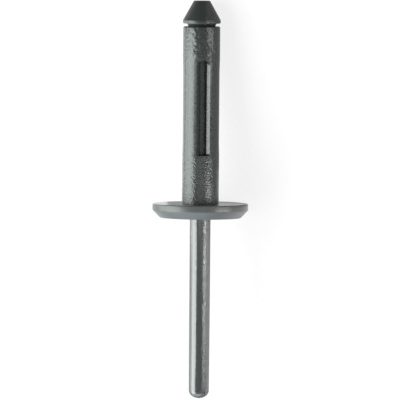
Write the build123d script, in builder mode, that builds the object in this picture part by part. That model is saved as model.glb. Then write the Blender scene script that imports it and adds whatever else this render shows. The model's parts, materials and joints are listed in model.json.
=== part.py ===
from build123d import *
import math
import os

# Plastic blind rivet before setting: a slotted sleeve with a wide flange, and the mandrel inside it.
# Lengths are in millimetres and angles in degrees. Stations run along the rivet's axis from the
# flange's bearing face, positive towards the mandrel's head and negative towards its tail.

# Sleeve: the shank that goes through the hole, and the flange that stays outside
shank_diameter = 6.2
shank_length = 29.8
free_end_chamfer = 0.2
flange_diameter = 16.1
flange_thickness = 2.38
flange_rim_height = 1.1
flange_bevel_width = 1.25
flange_edge_round = 0.2

# Slots that part the shank into legs, between two closed rings. A bevel runs along each side of a slot.
slot_count = 3
slot_width = 1.25  # under the bevel
slot_bevel_width = 0.8
slot_bevel_depth = 0.7
slot_corner_round = 0.45  # at the flat end next to the flange
lower_ring_height = 8.15  # ring next to the flange
upper_ring_height = 5.6  # ring at the free end
slot_draft_angle = 3  # each wall leans open towards the bevel
slot_turn_angle = 33.75  # first slot, turned away from the side that lies uppermost
leg_relief = 0.05  # the legs stand this far inside the rings
leg_relief_run = 2.0  # length over which a ring blends into a leg

# Mandrel: its head folds the legs, and its stem snaps at the neck
stem_diameter = 3.5
stem_tip_diameter = 3.42
stem_straight_length = 17.0  # outside the flange, before the stem begins to narrow
stem_tail_length = 30.45  # outside the flange in all
tail_dome_height = 1.35
head_diameter = 6.35
head_tip_diameter = 2.7
head_cone_height = 3.28
head_band_height = 0.56
head_round = 0.4  # between cone and band
head_lower_chamfer = 0.15
head_gap = 0.5  # open gap between the head and the sleeve's free end
shoulder_diameter = 5.0  # cone under the head that seats in the sleeve's mouth
shoulder_height = 1.6
neck_diameter = 2.3
neck_width = 0.9
neck_station = 6.0

# Fit of the mandrel in the sleeve, on the radius, and how far a cut runs past the surface
bore_clearance = 0.04
cut_overrun = 1.0

# Radii
shank_radius = shank_diameter / 2
leg_radius = shank_radius - leg_relief
flange_radius = flange_diameter / 2
flange_face_radius = flange_radius - flange_bevel_width
stem_radius = stem_diameter / 2
stem_tip_radius = stem_tip_diameter / 2
head_radius = head_diameter / 2
head_tip_radius = head_tip_diameter / 2
shoulder_radius = shoulder_diameter / 2
neck_radius = neck_diameter / 2
bore_radius = stem_radius + bore_clearance

# Stations of the mandrel's head, tail and shoulder
head_station = shank_length + head_gap
cone_station = head_station + head_band_height
tip_station = cone_station + head_cone_height
shoulder_station = head_station - shoulder_height
narrowing_station = -flange_thickness - stem_straight_length
dome_station = tail_dome_height - flange_thickness - stem_tail_length

# The sleeve's mouth follows the shoulder's cone
shoulder_slope = (shoulder_radius - stem_radius) / shoulder_height
mouth_radius = shoulder_radius - shoulder_slope * head_gap + bore_clearance

# The slots run between the rings. A slot's outline widens as it goes out from the axis, slowly along the
# walls and faster along the bevel, and it keeps its length. A level is a height above the axis, and how
# much wider the outline is there on each side.
slot_end_station = shank_length - upper_ring_height
slot_wall_slope = math.tan(math.radians(slot_draft_angle))
slot_bevel_slope = slot_bevel_width / slot_bevel_depth
bevel_height = shank_radius - slot_bevel_depth
axis_level = (0, -bevel_height * slot_wall_slope)
bevel_level = (bevel_height, 0)
outer_level = (shank_radius + cut_overrun, (slot_bevel_depth + cut_overrun) * slot_bevel_slope)

# The rivet lies on two rounded edges: the flange's rim, and the edge between the head's cone and band.
# The floor is the straight line that touches both rounds.
cone_angle = math.atan2(head_radius - head_tip_radius, head_cone_height)
rim_round_radius = flange_radius - flange_edge_round
head_round_radius = head_radius - head_round
head_round_station = cone_station - head_round * math.tan(cone_angle / 2)
rounds_run = head_round_station + flange_edge_round
rounds_drop = rim_round_radius - head_round_radius
rounds_span = math.hypot(rounds_run, rounds_drop)
lie_angle = math.atan2(rounds_drop, rounds_run) + math.asin((flange_edge_round - head_round) / rounds_span)
lie_cos = math.cos(lie_angle)
lie_sin = math.sin(lie_angle)

# The origin is on the floor, half way between the furthest points of head and tail
head_reach = tip_station * lie_cos + head_tip_radius * lie_sin
tail_reach = math.hypot(tail_dome_height * lie_cos, stem_tip_radius * lie_sin) - dome_station * lie_cos
seat_height = rim_round_radius * lie_cos + flange_edge_round * (1 - lie_sin)
seat_centre = Vector(0, (tail_reach - head_reach) / 2, seat_height)
lying_plane = Plane(seat_centre).rotated((-math.degrees(lie_angle), 0, 0))
rivet_axis = Axis(seat_centre, lying_plane.y_dir)
slot_angles = [slot_turn_angle + 360 / slot_count * k for k in range(slot_count)]
slot_planes = [Plane(lying_plane.location * Rot(0, angle, 0)) for angle in slot_angles]
# The sections are drawn through the middle of the first slot
section_plane = Plane(lying_plane.location * Rot(0, slot_turn_angle - 90, 0))

os.makedirs("parts", exist_ok=True)

# Sleeve
with BuildPart() as sleeve:
    with BuildSketch(section_plane) as sleeve_section:
        with BuildLine():
            Polyline(
                (bore_radius, -flange_thickness),
                (flange_face_radius, -flange_thickness),
                (flange_radius, -flange_rim_height),
                (flange_radius, 0),
                (shank_radius, 0),
                (shank_radius, lower_ring_height),
                (leg_radius, lower_ring_height + leg_relief_run),
                (leg_radius, slot_end_station - leg_relief_run),
                (shank_radius, slot_end_station),
                (shank_radius, shank_length),
                (mouth_radius, shank_length),
                (bore_radius, shoulder_station),
                close=True,
            )
        make_face()
        fillet(sleeve_section.vertices().group_by(Axis.X)[-1], radius=flange_edge_round)
        chamfer(sleeve_section.vertices().group_by(Axis.Y)[-1].sort_by(Axis.X)[-1], length=free_end_chamfer)
    revolve(axis=rivet_axis)
    for slot_plane in slot_planes:
        for levels in ((axis_level, bevel_level), (bevel_level, outer_level)):
            for height, spread in levels:
                half_width = slot_width / 2 + spread
                with BuildSketch(slot_plane.offset(height)) as slot_outline:
                    with BuildLine():
                        slot_arc = CenterArc((0, slot_end_station - half_width), half_width, 0, 180)
                        Polyline(
                            slot_arc @ 1,
                            (-half_width, lower_ring_height),
                            (half_width, lower_ring_height),
                            slot_arc @ 0,
                        )
                    make_face()
                    fillet(slot_outline.vertices().group_by(Axis.Y)[0], radius=slot_corner_round)
            loft(ruled=True, mode=Mode.SUBTRACT)

# Mandrel
with BuildPart() as mandrel:
    with BuildSketch(section_plane) as mandrel_section:
        with BuildLine():
            tail_dome = EllipticalCenterArc(
                (0, dome_station), stem_tip_radius, tail_dome_height, -90, arc_size=90
            )
            Polyline(
                tail_dome @ 1,
                (stem_radius, narrowing_station),
                (stem_radius, neck_station - neck_width / 2),
                (neck_radius, neck_station),
                (stem_radius, neck_station + neck_width / 2),
                (stem_radius, shoulder_station),
                (shoulder_radius, head_station),
                (head_radius, head_station),
                (head_radius, cone_station),
                (head_tip_radius, tip_station),
                (0, tip_station),
                tail_dome @ 0,
            )
        make_face()
        fillet(mandrel_section.vertices().group_by(Axis.X)[-1].sort_by(Axis.Y)[-1], radius=head_round)
        chamfer(mandrel_section.vertices().group_by(Axis.X)[-1].sort_by(Axis.Y)[0], length=head_lower_chamfer)
    revolve(axis=rivet_axis)

sleeve.part.label = "sleeve"
export_step(sleeve.part, "parts/sleeve.step")
mandrel.part.label = "mandrel"
export_step(mandrel.part, "parts/mandrel.step")
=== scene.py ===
import json
import math
import bpy
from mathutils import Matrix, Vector


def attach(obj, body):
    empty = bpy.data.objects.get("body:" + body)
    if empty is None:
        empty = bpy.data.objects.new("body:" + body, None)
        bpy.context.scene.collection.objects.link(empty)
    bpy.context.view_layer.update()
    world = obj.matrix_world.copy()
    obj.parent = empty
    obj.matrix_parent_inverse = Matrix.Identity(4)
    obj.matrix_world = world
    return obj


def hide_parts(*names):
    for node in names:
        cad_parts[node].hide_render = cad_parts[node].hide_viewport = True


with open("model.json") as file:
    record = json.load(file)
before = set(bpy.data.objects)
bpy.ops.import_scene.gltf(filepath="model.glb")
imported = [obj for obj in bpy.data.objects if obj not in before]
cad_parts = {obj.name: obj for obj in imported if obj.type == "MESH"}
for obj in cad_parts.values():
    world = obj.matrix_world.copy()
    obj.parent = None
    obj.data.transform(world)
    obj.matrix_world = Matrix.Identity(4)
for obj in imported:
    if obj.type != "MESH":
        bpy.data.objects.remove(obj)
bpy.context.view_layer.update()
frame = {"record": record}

scene = bpy.context.scene
scene.view_settings.view_transform = 'Standard'
bpy.ops.object.select_all(action='DESELECT')

# The rivet lies on the floor. Its axis comes from the mount on the shank, and points to the mandrel's head.
mm = 0.001
shankMount = next(mount for mount in frame["record"]["mounts"] if mount["name"] == "shank")
axisDir = Vector(shankMount["axis"]).normalized()
seat = Vector(shankMount["pos_m"]) - axisDir * shankMount["dims"]["length_mm"] / 2 * mm
lieAngle = math.atan2(-axisDir.z, axisDir.y)
sideDir = Vector((1, 0, 0))
upDir = sideDir.cross(axisDir)
lieTurn = (-math.pi / 2 - lieAngle, 0, 0)  # turns a piece drawn upright into the rivet's pose

# The photo looks at the rivet a little from its right side, and a little from its head's end
shot = {
    "turn": 26.25,          # degrees round the rivet's axis
    "tip": 3.0,             # degrees towards the head
    "roll": 0.49,           # degrees by which the head's end leans to the right
    "lens": 800,
    "sensor": 36,
    "clipFactor": 10,
    "pixels": 400,
    "pixelsPerMm": 5.945,
    "seatPixel": (200.3, 203.5),  # where the middle of the flange's bearing face shows
}

turn, tip, roll = (math.radians(shot[key]) for key in ("turn", "tip", "roll"))
viewSide = upDir * math.cos(turn) + sideDir * math.sin(turn)
viewRight = sideDir * math.cos(turn) - upDir * math.sin(turn)
cameraBack = viewSide * math.cos(tip) + axisDir * math.sin(tip)
levelUp = axisDir * math.cos(tip) - viewSide * math.sin(tip)
cameraUp = levelUp * math.cos(roll) - viewRight * math.sin(roll)
cameraRight = viewRight * math.cos(roll) + levelUp * math.sin(roll)


def aim(thing, right, up, back):
    turned = thing.matrix_world.to_3x3()
    turned.col[0] = right
    turned.col[1] = up
    turned.col[2] = back
    thing.rotation_euler = turned.to_euler()


def placeCamera():
    centre = shot["pixels"] / 2
    right = (centre - shot["seatPixel"][0]) / shot["pixelsPerMm"] * mm
    up = (shot["seatPixel"][1] - centre) / shot["pixelsPerMm"] * mm
    target = seat + cameraRight * right + cameraUp * up
    frameWidth = shot["pixels"] / shot["pixelsPerMm"] * mm
    distance = frameWidth * shot["lens"] / shot["sensor"]
    bpy.ops.object.camera_add(location=target + cameraBack * distance)
    camera = bpy.context.object
    camera.name = "camera"
    camera.data.lens = shot["lens"]
    camera.data.sensor_width = shot["sensor"]
    camera.data.clip_start = distance / shot["clipFactor"]
    camera.data.clip_end = distance * shot["clipFactor"]
    aim(camera, cameraRight, cameraUp, cameraBack)
    scene.camera = camera


placeCamera()
print("camera placed")

# Softboxes stand far off round the rivet. "round" is the angle from the view to the box, round the axis and
# positive to the right of the picture, and "along" leans it towards the head. "width" and "length" are the
# angles that it fills. All are in degrees. A "glow" of 1 is white.
softboxes = {
    "leftPanel": {
        "round": -69, "along": -13, "width": 42, "length": 70, "glow": 6.4, "tint": (0.93, 1.0, 0.97)},
    "leftCard": {
        "round": -103, "along": -13, "width": 26, "length": 70, "glow": 2.4, "tint": (0.92, 1.0, 0.97)},
    "tailCard": {
        "round": 10, "along": -92, "width": 90, "length": 60, "glow": 2.5, "tint": (0.82, 0.90, 1.0)},
}
boxDistance = 0.45

# Small cards stand near the rivet, each in sight of one stretch of it. "along" is the card's middle, from the
# flange. It, the distance and the length are in millimetres, and the other two are angles as above.
nearCards = {
    "stemLeft": {"round": -42, "distance": 100, "along": -24, "width": 10, "length": 34, "glow": 6.4},
    "stemRight": {"round": 53, "distance": 100, "along": -30, "width": 28, "length": 27, "glow": 4.8},
    "sleeveLeft": {"round": -103, "distance": 80, "along": 10, "width": 26, "length": 44, "glow": 1.8},
    "flangeRight": {"round": 53, "distance": 60, "along": -8, "width": 32, "length": 14, "glow": 7.5},
    "flangeHead": {"round": 50, "distance": 40, "along": 44, "width": 40, "length": 20, "glow": 2.4},
    "flangeFront": {"round": 8, "distance": 50, "along": -1, "width": 50, "length": 12, "glow": 1.2},
    "ringLeft": {"round": -40, "distance": 60, "along": 26, "width": 16, "length": 14, "glow": 3.4},
    "ringRight": {"round": 57, "distance": 60, "along": 26, "width": 20, "length": 16, "glow": 4.2},
}
white = (1.0, 1.0, 1.0)

# Lit cards lie face up just above the floor. Their places and sizes are in millimetres.
floorCards = {
    "sleeveFloor": {
        "across": -37, "along": 16, "width": 54, "length": 32, "glow": 1.2, "tint": (0.94, 1.0, 0.98)},
    "flangeFloor": {
        "across": 3, "along": 1, "width": 10, "length": 5, "glow": 0.42, "tint": (0.97, 1.0, 1.0)},
    "stemFloor": {
        "across": -37, "along": -27, "width": 54, "length": 54, "glow": 0.7, "tint": (0.93, 0.98, 1.0)},
    "rightFloor": {
        "across": 33, "along": -26, "width": 54, "length": 48, "glow": 1.0, "tint": (0.95, 0.94, 1.0)},
}
floorLift = 0.3


def spanOf(angle, distance):
    return 2 * distance * math.tan(math.radians(angle / 2))


def roundDir(angle):
    return viewSide * math.cos(math.radians(angle)) + viewRight * math.sin(math.radians(angle))


def addLamp(name, place, back, up, size, glow, tint):
    # "back" points away from what the lamp lights
    bpy.ops.object.light_add(type='AREA', location=place)
    lamp = bpy.context.object
    lamp.name = name
    lamp.data.shape = 'RECTANGLE'
    lamp.data.size, lamp.data.size_y = size
    lamp.data.energy = glow * math.pi * lamp.data.size * lamp.data.size_y
    lamp.data.color = tint
    aim(lamp, up.cross(back), up, back)
    lamp.visible_camera = False


def addSoftbox(name, box):
    ring = roundDir(box["round"])
    alongAngle = math.radians(box["along"])
    back = ring * math.cos(alongAngle) + axisDir * math.sin(alongAngle)
    up = axisDir * math.cos(alongAngle) - ring * math.sin(alongAngle)
    size = spanOf(box["width"], boxDistance), spanOf(box["length"], boxDistance)
    addLamp(name, seat + back * boxDistance, back, up, size, box["glow"], box["tint"])


def addNearCard(name, card):
    back = roundDir(card["round"])
    place = seat + (back * card["distance"] + axisDir * card["along"]) * mm
    size = spanOf(card["width"], card["distance"]) * mm, card["length"] * mm
    addLamp(name, place, back, axisDir, size, card["glow"], white)


def addFloorCard(name, card):
    place = Vector((card["across"], card["along"], floorLift)) * mm
    size = card["width"] * mm, card["length"] * mm
    addLamp(name, place, Vector((0, 0, -1)), Vector((0, -1, 0)), size, card["glow"], card["tint"])


for cards, addCard in ((softboxes, addSoftbox), (nearCards, addNearCard), (floorCards, addFloorCard)):
    for name, card in cards.items():
        addCard(name, card)

# The room is dim, dimmer overhead and towards the rivet's head, and the camera sees it white
room = {
    "overhead": 0.40,
    "horizon": 0.45,
    "fadeEnd": 0.3,          # upward share of a direction where the horizon's light has faded
    "headShare": 0.36,       # of the light, towards the head
    "dimming": (-0.2, 0.6),  # share of a direction towards the head, where the dimming starts and ends
}


def lightRoom():
    world = bpy.data.worlds.new("room")
    scene.world = world
    world.use_nodes = True
    nodes, links = world.node_tree.nodes, world.node_tree.links
    background = nodes["Background"]
    background.inputs["Strength"].default_value = 1.0
    coord = nodes.new("ShaderNodeTexCoord")
    split = nodes.new("ShaderNodeSeparateXYZ")
    path = nodes.new("ShaderNodeLightPath")
    fade = nodes.new("ShaderNodeMapRange")
    fade.inputs["From Min"].default_value = 0.0
    fade.inputs["From Max"].default_value = room["fadeEnd"]
    fade.inputs["To Min"].default_value = room["horizon"]
    fade.inputs["To Max"].default_value = room["overhead"]
    dim = nodes.new("ShaderNodeMapRange")
    dim.inputs["From Min"].default_value, dim.inputs["From Max"].default_value = room["dimming"]
    dim.inputs["To Min"].default_value = 1.0
    dim.inputs["To Max"].default_value = room["headShare"]
    both = nodes.new("ShaderNodeMath")
    both.operation = 'MULTIPLY'
    seen = nodes.new("ShaderNodeMath")
    seen.operation = 'MAXIMUM'
    links.new(coord.outputs["Generated"], split.inputs["Vector"])
    links.new(split.outputs["Z"], fade.inputs["Value"])
    links.new(split.outputs["Y"], dim.inputs["Value"])
    links.new(fade.outputs["Result"], both.inputs[0])
    links.new(dim.outputs["Result"], both.inputs[1])
    links.new(both.outputs["Value"], seen.inputs[0])
    links.new(path.outputs["Is Camera Ray"], seen.inputs[1])
    links.new(seen.outputs["Value"], background.inputs["Color"])


lightRoom()

# The floor's own light brings it to white for the camera, and to a pale grey in reflections
floorLook = {
    "size": 8.0,
    "paint": (0.132, 0.123, 0.126),
    "roughness": 0.9,
    "seen": 0.80,
    "mirrored": 0.37,
}


def layFloor():
    bpy.ops.object.select_all(action='DESELECT')
    bpy.ops.mesh.primitive_plane_add(size=floorLook["size"], location=(0, 0, 0))
    floor = bpy.context.object
    floor.name = "floor"
    paint = bpy.data.materials.new("floorPaint")
    paint.use_nodes = True
    nodes, links = paint.node_tree.nodes, paint.node_tree.links
    shader = nodes["Principled BSDF"]
    shader.inputs["Roughness"].default_value = floorLook["roughness"]
    shader.inputs["Specular IOR Level"].default_value = 0.0
    shader.inputs["Base Color"].default_value = (*floorLook["paint"], 1)
    shader.inputs["Emission Color"].default_value = (*white, 1)
    path = nodes.new("ShaderNodeLightPath")
    straight = nodes.new("ShaderNodeMath")
    straight.operation = 'MAXIMUM'
    seen = nodes.new("ShaderNodeMath")
    seen.operation = 'MULTIPLY'
    seen.inputs[1].default_value = floorLook["seen"]
    glow = nodes.new("ShaderNodeMath")
    glow.operation = 'MULTIPLY_ADD'
    glow.inputs[1].default_value = floorLook["mirrored"]
    links.new(path.outputs["Is Camera Ray"], straight.inputs[0])
    links.new(path.outputs["Is Transmission Ray"], straight.inputs[1])
    links.new(straight.outputs["Value"], seen.inputs[0])
    links.new(path.outputs["Is Glossy Ray"], glow.inputs[0])
    links.new(seen.outputs["Value"], glow.inputs[2])
    links.new(glow.outputs["Value"], shader.inputs["Emission Strength"])
    floor.data.materials.append(paint)


layFloor()
print("lights and floor set")

# Both pieces are drawn upright round the Z axis, in millimetres from the flange's bearing face, and laid down
# last. A rounding is how far it runs from the edge, and its segments.
turning = {"sides": 192, "smoothAngle": 30, "mergeWithin": 0.0005, "pickWithin": 0.004}


def startTurning(name, radius, height):
    bpy.ops.object.select_all(action='DESELECT')
    bpy.ops.mesh.primitive_circle_add(
        vertices=turning["sides"], radius=radius, location=(0, 0, height), fill_type='NOTHING')
    piece = bpy.context.object
    piece.name = name
    bpy.ops.object.transform_apply(location=True, rotation=False, scale=False)
    bpy.ops.object.mode_set(mode='EDIT')
    bpy.ops.mesh.select_mode(type='VERT')
    bpy.ops.mesh.select_all(action='SELECT')
    return piece, [(radius, height)]


def turnTo(loops, radius, height):
    # pulls the open loop on to its next radius and height
    lastRadius, lastHeight = loops[-1]
    growth = radius / lastRadius
    bpy.ops.mesh.extrude_region_move(TRANSFORM_OT_translate={"value": (0, 0, height - lastHeight)})
    bpy.ops.transform.resize(value=(growth, growth, 1), center_override=(0, 0, height))
    loops.append((radius, height))


def pickVertices(piece, test):
    bpy.ops.object.mode_set(mode='OBJECT')
    for parts in (piece.data.polygons, piece.data.edges, piece.data.vertices):
        for item in parts:
            item.select = False
    for vertex in piece.data.vertices:
        vertex.select = test(vertex.co)
    bpy.ops.object.mode_set(mode='EDIT')
    bpy.ops.mesh.select_mode(type='VERT')


def pickLoop(piece, radius, height):
    near = turning["pickWithin"]
    pickVertices(piece, lambda spot: abs(spot.z - height) < near and abs(spot.xy.length - radius) < near)


def roundLoop(piece, radius, height, rounding):
    reach, segments = rounding
    pickLoop(piece, radius, height)
    bpy.ops.mesh.bevel(offset=reach, offset_type='OFFSET', segments=segments, profile=0.5, affect='EDGES')


def mergeDoubles():
    bpy.ops.mesh.select_all(action='SELECT')
    bpy.ops.mesh.remove_doubles(threshold=turning["mergeWithin"])


def closeMesh():
    mergeDoubles()
    bpy.ops.mesh.normals_make_consistent(inside=False)
    bpy.ops.object.mode_set(mode='OBJECT')


def pickOnly(piece):
    bpy.ops.object.select_all(action='DESELECT')
    bpy.context.view_layer.objects.active = piece
    piece.select_set(True)


def layDown(piece):
    pickOnly(piece)
    piece.scale = (mm, mm, mm)
    piece.rotation_euler = lieTurn
    piece.location = seat
    bpy.ops.object.transform_apply(location=True, rotation=True, scale=True)
    bpy.ops.object.shade_smooth_by_angle(angle=math.radians(turning["smoothAngle"]))


mandrelShape = {
    "stem": 1.75,            # radii
    "stemTip": 1.71,
    "neck": 1.15,
    "shoulder": 2.5,
    "head": 3.175,
    "headTip": 1.35,
    "tipRings": (0.9, 0.45),
    "tailEnd": -32.83,       # heights
    "domeFoot": -31.48,
    "narrowing": -19.38,
    "neckMiddle": 6.0,
    "neckHalf": 0.45,
    "shoulderFoot": 28.7,
    "headFoot": 30.3,
    "coneFoot": 30.86,
    "tip": 34.14,
    "domeLoops": 14,
    "coneRound": (0.104, 5),
    "headFootRound": (0.15, 3),
    "tipRound": (0.08, 3),
}


def makeMandrel():
    shape = mandrelShape

    def domeLoop(step):
        angle = math.pi / 2 * step / shape["domeLoops"]
        drop = (shape["domeFoot"] - shape["tailEnd"]) * math.cos(angle)
        return shape["stemTip"] * math.sin(angle), shape["domeFoot"] - drop

    firstLoop = domeLoop(1)
    piece, loops = startTurning("mandrelBody", *firstLoop)
    for step in range(2, shape["domeLoops"] + 1):
        turnTo(loops, *domeLoop(step))
    turnTo(loops, shape["stem"], shape["narrowing"])
    turnTo(loops, shape["stem"], shape["neckMiddle"] - shape["neckHalf"])
    turnTo(loops, shape["neck"], shape["neckMiddle"])
    turnTo(loops, shape["stem"], shape["neckMiddle"] + shape["neckHalf"])
    turnTo(loops, shape["stem"], shape["shoulderFoot"])
    turnTo(loops, shape["shoulder"], shape["headFoot"])
    turnTo(loops, shape["head"], shape["headFoot"])
    turnTo(loops, shape["head"], shape["coneFoot"])
    turnTo(loops, shape["headTip"], shape["tip"])
    for radius in shape["tipRings"]:
        turnTo(loops, radius, shape["tip"])
    bpy.ops.mesh.merge(type='CENTER')          # closes the flat tip
    pickLoop(piece, *firstLoop)
    drop = shape["tailEnd"] - firstLoop[1]
    bpy.ops.mesh.extrude_region_move(TRANSFORM_OT_translate={"value": (0, 0, drop)})
    bpy.ops.mesh.merge(type='CENTER')          # closes the dome
    roundLoop(piece, shape["head"], shape["coneFoot"], shape["coneRound"])
    roundLoop(piece, shape["head"], shape["headFoot"], shape["headFootRound"])
    roundLoop(piece, shape["headTip"], shape["tip"], shape["tipRound"])
    closeMesh()
    layDown(piece)
    return piece


sleeveShape = {
    "bore": 1.79,            # radii
    "mouth": 2.3056,
    "shank": 3.1,
    "legs": 3.05,
    "flange": 8.05,
    "flangeFace": 6.8,
    "outerFace": -2.38,      # heights
    "rimFoot": -1.1,
    "legFoot": 8.15,
    "legEnd": 24.2,
    "legBlend": 2.0,
    "mouthFoot": 28.7,
    "freeEnd": 29.8,
    "faceRound": (0.1, 3),
    "rimFootRound": (0.081, 4),
    "rimRound": (0.2, 5),
    "freeEndRound": (0.2, 3),
}

slotShape = {
    "count": 3,
    "firstTurn": 33.75,      # degrees from the side that lies uppermost
    "width": 1.25,           # under the bevel
    "footRound": 0.45,
    "innerHeight": 0.9,      # heights above the rivet's axis
    "bevelHeight": 2.4,
    "outerHeight": 4.1,
    "wallDraft": 3,          # degrees
    "bevelWidth": 0.8,
    "bevelDepth": 0.7,
    "endSegments": 28,
    "footSegments": 6,
}


def makeSlotCutter():
    # the slot's outline lies flat, its corners are rounded, and it is pulled up the bevels and down the
    # walls, keeping its length
    shape = slotShape
    foot, end = sleeveShape["legFoot"], sleeveShape["legEnd"]
    halfWidth = shape["width"] / 2
    roundCentre = end - halfWidth
    near = turning["pickWithin"]
    bpy.ops.object.select_all(action='DESELECT')
    bpy.ops.mesh.primitive_plane_add(size=1, location=(0, (foot + end) / 2, shape["bevelHeight"]))
    cutter = bpy.context.object
    cutter.name = "slotCutter"
    cutter.scale = (shape["width"], end - foot, 1)
    bpy.ops.object.transform_apply(location=True, rotation=False, scale=True)
    pickVertices(cutter, lambda spot: spot.y > roundCentre)
    bpy.ops.mesh.bevel(offset=halfWidth, segments=shape["endSegments"], affect='VERTICES')
    pickVertices(cutter, lambda spot: spot.y < foot + near)
    bpy.ops.mesh.bevel(offset=shape["footRound"], segments=shape["footSegments"], affect='VERTICES')
    mergeDoubles()

    def pullOutline(height, slope):
        # "slope" is how much each side widens for each millimetre of height
        rise = height - shape["bevelHeight"]
        spread = rise * slope
        growth = 1 + spread / halfWidth
        pickVertices(cutter, lambda spot: abs(spot.z - shape["bevelHeight"]) < near)
        bpy.ops.mesh.extrude_region_move(TRANSFORM_OT_translate={"value": (0, 0, rise)})
        for side in (-1, 1):
            pickVertices(cutter, lambda spot: (
                abs(spot.z - height) < near and spot.y < roundCentre - near and spot.x * side > 0))
            bpy.ops.transform.translate(value=(side * spread, 0, 0))
        pickVertices(cutter, lambda spot: abs(spot.z - height) < near and spot.y > roundCentre - near)
        bpy.ops.transform.resize(value=(growth, growth, 1), center_override=(0, end, height))

    pullOutline(shape["outerHeight"], shape["bevelWidth"] / shape["bevelDepth"])
    pullOutline(shape["innerHeight"], math.tan(math.radians(shape["wallDraft"])))
    closeMesh()
    cutter.rotation_euler = (math.pi / 2, 0, math.radians(shape["firstTurn"]))
    bpy.ops.object.transform_apply(location=False, rotation=True, scale=False)
    return cutter


def cutSlots(sleeve):
    cutters = [makeSlotCutter()]
    for index in range(1, slotShape["count"]):
        pickOnly(cutters[0])
        bpy.ops.object.duplicate()
        copy = bpy.context.object
        copy.rotation_euler = (0, 0, math.tau * index / slotShape["count"])
        bpy.ops.object.transform_apply(location=False, rotation=True, scale=False)
        cutters.append(copy)
    for index, cutter in enumerate(cutters):
        cut = sleeve.modifiers.new("slot%d" % index, 'BOOLEAN')
        cut.operation = 'DIFFERENCE'
        cut.solver = 'EXACT'
        cut.object = cutter
        pickOnly(sleeve)
        bpy.ops.object.modifier_apply(modifier=cut.name)
    bpy.ops.object.select_all(action='DESELECT')
    for cutter in cutters:
        cutter.select_set(True)
    bpy.ops.object.delete()


def makeSleeve():
    shape = sleeveShape
    piece, loops = startTurning("sleeveBody", shape["bore"], shape["outerFace"])
    turnTo(loops, shape["flangeFace"], shape["outerFace"])
    turnTo(loops, shape["flange"], shape["rimFoot"])
    turnTo(loops, shape["flange"], 0)
    turnTo(loops, shape["shank"], 0)
    turnTo(loops, shape["shank"], shape["legFoot"])
    turnTo(loops, shape["legs"], shape["legFoot"] + shape["legBlend"])
    turnTo(loops, shape["legs"], shape["legEnd"] - shape["legBlend"])
    turnTo(loops, shape["shank"], shape["legEnd"])
    turnTo(loops, shape["shank"], shape["freeEnd"])
    turnTo(loops, shape["mouth"], shape["freeEnd"])
    turnTo(loops, shape["bore"], shape["mouthFoot"])
    turnTo(loops, shape["bore"], shape["outerFace"])   # meets the first loop, and closes the bore
    mergeDoubles()
    roundLoop(piece, shape["flangeFace"], shape["outerFace"], shape["faceRound"])
    roundLoop(piece, shape["flange"], shape["rimFoot"], shape["rimFootRound"])
    roundLoop(piece, shape["flange"], 0, shape["rimRound"])
    roundLoop(piece, shape["shank"], shape["freeEnd"], shape["freeEndRound"])
    closeMesh()
    cutSlots(piece)
    pickOnly(piece)
    bpy.ops.object.mode_set(mode='EDIT')
    closeMesh()
    layDown(piece)
    return piece


mandrelBody = makeMandrel()
sleeveBody = makeSleeve()
for piece, node in ((mandrelBody, "mandrel"), (sleeveBody, "sleeve")):
    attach(piece, "root")
    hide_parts(node)
    print("drew", piece.name, "with", len(piece.data.polygons), "faces")

# Finishes. Each material reads the rivet's own upright frame, so that height is measured along its axis.
# A pitch is the size of a grain and a depth its relief, both in millimetres, and a detail is the noise's own.
noiseRange = (0.3, 0.7)  # holds most of a noise's values


def startPlastic(name):
    material = bpy.data.materials.new(name)
    material.use_nodes = True
    nodes, links = material.node_tree.nodes, material.node_tree.links
    coord = nodes.new("ShaderNodeTexCoord")
    upright = nodes.new("ShaderNodeMapping")
    upright.vector_type = 'TEXTURE'
    upright.inputs["Location"].default_value = seat
    upright.inputs["Rotation"].default_value = lieTurn
    links.new(coord.outputs["Object"], upright.inputs["Vector"])
    return material, upright.outputs["Vector"]


def addNoise(material, vector, pitch, detail):
    noise = material.node_tree.nodes.new("ShaderNodeTexNoise")
    noise.inputs["Scale"].default_value = 1 / (pitch * mm)
    noise.inputs["Detail"].default_value = detail
    material.node_tree.links.new(vector, noise.inputs["Vector"])
    return noise.outputs["Fac"]


def addRange(material, value, fromRange, toRange):
    ramp = material.node_tree.nodes.new("ShaderNodeMapRange")
    ramp.interpolation_type = 'SMOOTHSTEP'
    ramp.inputs["From Min"].default_value, ramp.inputs["From Max"].default_value = fromRange
    ramp.inputs["To Min"].default_value, ramp.inputs["To Max"].default_value = toRange
    material.node_tree.links.new(value, ramp.inputs["Value"])
    return ramp.outputs["Result"]


def addStep(material, height, middle, blend, toRange):
    # changes over at a height of the rivet
    return addRange(material, height, ((middle - blend) * mm, (middle + blend) * mm), toRange)


def addMath(material, operation, first, second):
    node = material.node_tree.nodes.new("ShaderNodeMath")
    node.operation = operation
    material.node_tree.links.new(first, node.inputs[0])
    material.node_tree.links.new(second, node.inputs[1])
    return node.outputs["Value"]


def addBump(material, height, depth, before=None):
    bump = material.node_tree.nodes.new("ShaderNodeBump")
    bump.inputs["Distance"].default_value = depth * mm
    material.node_tree.links.new(height, bump.inputs["Height"])
    if before is not None:
        material.node_tree.links.new(before, bump.inputs["Normal"])
    return bump.outputs["Normal"]


def addTones(material, value, first, second):
    # each tone is a colour, or a socket that gives one
    tones = material.node_tree.nodes.new("ShaderNodeMix")
    tones.data_type = 'RGBA'
    for key, tone in (("A", first), ("B", second)):
        if isinstance(tone, tuple):
            tones.inputs[key].default_value = (*tone, 1)
        else:
            material.node_tree.links.new(tone, tones.inputs[key])
    material.node_tree.links.new(value, tones.inputs["Factor"])
    return tones.outputs["Result"]


def addHeight(material, vector):
    split = material.node_tree.nodes.new("ShaderNodeSeparateXYZ")
    material.node_tree.links.new(vector, split.inputs["Vector"])
    return split.outputs["Z"]


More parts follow.
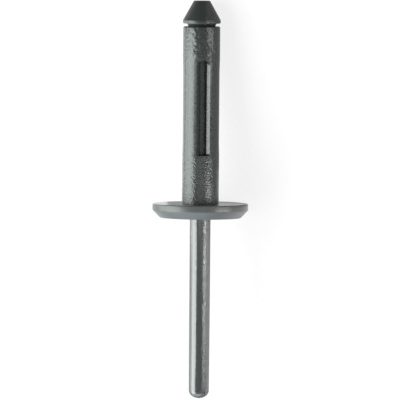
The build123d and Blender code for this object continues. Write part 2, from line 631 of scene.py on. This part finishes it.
sleeveLook = {
    "dark": (0.026, 0.031, 0.029),
    "light": (0.035, 0.041, 0.039),
    "flangeLitDark": (0.046, 0.052, 0.051),  # painted light: the flange's tone is lifted to stand for the light it catches, and it is frosted as well
    "flangeLitLight": (0.055, 0.061, 0.060),
    "roughness": (0.19, 0.29),
    "flangeRoughness": 0.37,
    "gloss": 0.6,            # specular level
    "upperPitch": 0.48,      # grain on the ring at the free end
    "upperDepth": 0.12,
    "lowerPitch": 0.31,      # grain on the ring next to the flange
    "lowerDepth": 0.07,
    "grainDetail": 0.6,
    "finePitch": 0.16,
    "fineDepth": 0.002,
    "fineDetail": 2.0,
    "cloudPitch": 3.0,
    "cloudDetail": 3.0,
    "legShare": 0.10,        # how much of the upper ring's grain is everywhere
    "ringBlend": 0.6,        # millimetres each way in which a ring's finish changes over
    "flangeBlend": 0.1,
}


def sleevePlastic():
    look = sleeveLook
    material, vector = startPlastic("sleevePlastic")
    links = material.node_tree.links
    shader = material.node_tree.nodes["Principled BSDF"]
    height = addHeight(material, vector)
    # the closed rings are grainier than the legs and the flange
    upperRing = addStep(material, height, sleeveShape["legEnd"], look["ringBlend"], (0, 1))
    lowerRing = addStep(material, height, sleeveShape["legFoot"], look["ringBlend"], (1, 0))
    aboveFlange = addStep(material, height, 0, look["flangeBlend"], (0, 1))
    lowerShare = addMath(material, 'MULTIPLY', lowerRing, aboveFlange)
    upperShare = addRange(material, upperRing, (0, 1), (look["legShare"], 1))
    upperGrain = addNoise(material, vector, look["upperPitch"], look["grainDetail"])
    lowerGrain = addNoise(material, vector, look["lowerPitch"], look["grainDetail"])
    fine = addNoise(material, vector, look["finePitch"], look["fineDetail"])
    cloud = addNoise(material, vector, look["cloudPitch"], look["cloudDetail"])
    upperRelief = addMath(material, 'MULTIPLY', upperGrain, upperShare)
    lowerRelief = addMath(material, 'MULTIPLY', lowerGrain, lowerShare)
    normal = addBump(material, upperRelief, look["upperDepth"])
    normal = addBump(material, lowerRelief, look["lowerDepth"], normal)
    normal = addBump(material, fine, look["fineDepth"], normal)
    links.new(normal, shader.inputs["Normal"])
    shankTone = addTones(material, cloud, look["dark"], look["light"])
    # the flange's lighter tone is painted light, a lit copy of the shank's tone
    flangeLitTone = addTones(material, cloud, look["flangeLitDark"], look["flangeLitLight"])
    links.new(addTones(material, aboveFlange, flangeLitTone, shankTone), shader.inputs["Base Color"])
    roughness = addRange(material, upperGrain, noiseRange, look["roughness"])
    flangeRoughness = addRange(material, aboveFlange, (0, 1), (look["flangeRoughness"], 0))
    links.new(addMath(material, 'MAXIMUM', roughness, flangeRoughness), shader.inputs["Roughness"])
    shader.inputs["Specular IOR Level"].default_value = look["gloss"]
    return material


mandrelLook = {
    "dark": (0.027, 0.032, 0.030),
    "light": (0.036, 0.041, 0.039),
    "roughness": (0.14, 0.22),
    "satinRoughness": 0.25,  # the head, and the stem inside the sleeve, are satin
    "gloss": 1.0,            # specular level
    "satinGloss": 0.45,
    "satinFrom": 1.75,       # height, and millimetres each way in which it changes over
    "satinBlend": 1.25,
    "coat": 0.25,
    "coatRoughness": 0.12,
    "grainPitch": 0.5,
    "grainDepth": 0.010,
    "grainDetail": 1.5,
    "beadPitch": 0.25,       # one side of the stem is beaded
    "beadDepth": 0.11,
    "beadDetail": 0.5,
    "beadAngle": 26.25,      # degrees from the stem's right side down to the middle of the beads
    "beadFrom": 0.25,        # from the stem's middle, and millimetres each way in which the beads begin
    "beadBlend": 0.35,
    "finePitch": 0.15,
    "fineDepth": 0.0015,
    "fineDetail": 2.0,
    "cloudPitch": 4.0,
    "cloudDetail": 3.0,
}


def mandrelPlastic():
    look = mandrelLook
    material, vector = startPlastic("mandrelPlastic")
    nodes, links = material.node_tree.nodes, material.node_tree.links
    shader = nodes["Principled BSDF"]
    grain = addNoise(material, vector, look["grainPitch"], look["grainDetail"])
    beads = addNoise(material, vector, look["beadPitch"], look["beadDetail"])
    fine = addNoise(material, vector, look["finePitch"], look["fineDetail"])
    cloud = addNoise(material, vector, look["cloudPitch"], look["cloudDetail"])
    beadAngle = math.radians(look["beadAngle"])
    across = nodes.new("ShaderNodeVectorMath")
    across.operation = 'DOT_PRODUCT'
    across.inputs[1].default_value = (math.cos(beadAngle), math.sin(beadAngle), 0)
    links.new(vector, across.inputs[0])
    beaded = addStep(material, across.outputs["Value"], look["beadFrom"], look["beadBlend"], (0, 1))
    beadRelief = addMath(material, 'MULTIPLY', beads, beaded)
    normal = addBump(material, grain, look["grainDepth"])
    normal = addBump(material, beadRelief, look["beadDepth"], normal)
    normal = addBump(material, fine, look["fineDepth"], normal)
    links.new(normal, shader.inputs["Normal"])
    links.new(addTones(material, cloud, look["dark"], look["light"]), shader.inputs["Base Color"])
    height = addHeight(material, vector)

    def addSatin(toRange):
        return addStep(material, height, look["satinFrom"], look["satinBlend"], toRange)

    roughness = addRange(material, grain, noiseRange, look["roughness"])
    satinRoughness = addSatin((0, look["satinRoughness"]))
    links.new(addMath(material, 'MAXIMUM', roughness, satinRoughness), shader.inputs["Roughness"])
    links.new(addSatin((look["gloss"], look["satinGloss"])), shader.inputs["Specular IOR Level"])
    links.new(addSatin((look["coat"], 0)), shader.inputs["Coat Weight"])
    shader.inputs["Coat Roughness"].default_value = look["coatRoughness"]
    return material


for piece, plastic in ((sleeveBody, sleevePlastic()), (mandrelBody, mandrelPlastic())):
    piece.data.materials.clear()
    piece.data.materials.append(plastic)
print("finishes set")
